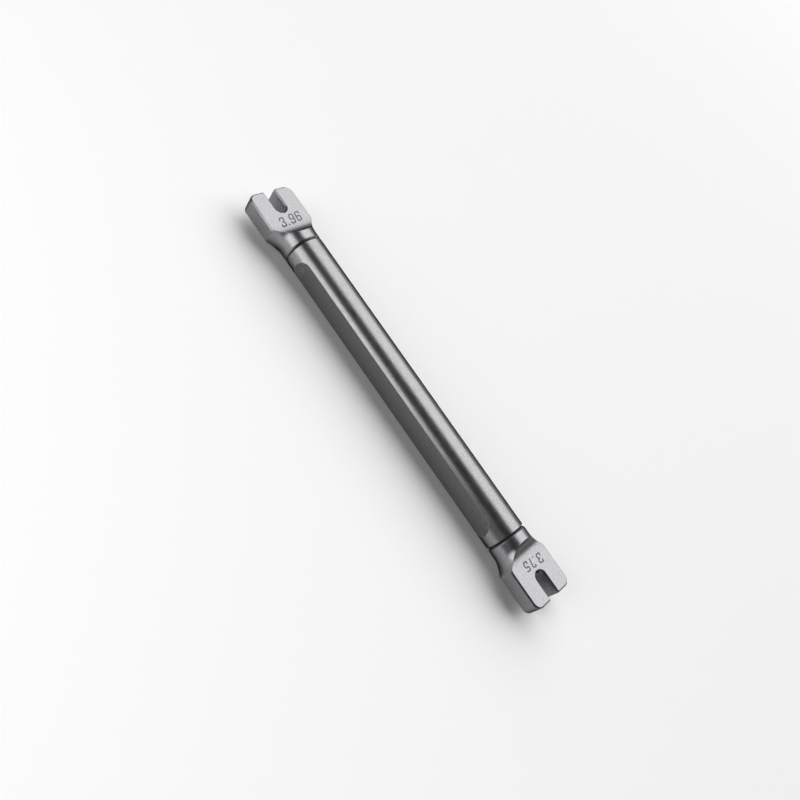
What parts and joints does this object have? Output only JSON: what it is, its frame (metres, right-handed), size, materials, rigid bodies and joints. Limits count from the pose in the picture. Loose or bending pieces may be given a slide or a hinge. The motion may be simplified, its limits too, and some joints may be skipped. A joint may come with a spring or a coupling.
{
  "type": "spoke wrench",
  "caption": "Double-ended spoke wrench: round bar handle with milled side flats, and a flared flat head with a U-shaped slot at each end.",
  "frame": {"origin": "middle of the handle, which is the centre of the overall box", "axes": "+X along the handle towards the 3.75 head, +Z square to the flat faces of the heads, +Y across the heads"},
  "size_m": [0.149, 0.0164, 0.0128],
  "materials": {
    "handle_steel": "satin, bead-blasted",
    "head_steel": "satin, milled and bead-blasted",
    "spacer_rubber": "matt black"
  },
  "bodies": {
    "root": {"handle": "handle_steel", "head_3_96": "head_steel", "head_3_75": "head_steel", "spacer_ring_3_96": "spacer_rubber", "spacer_ring_3_75": "spacer_rubber"}
  },
  "joints": []
}
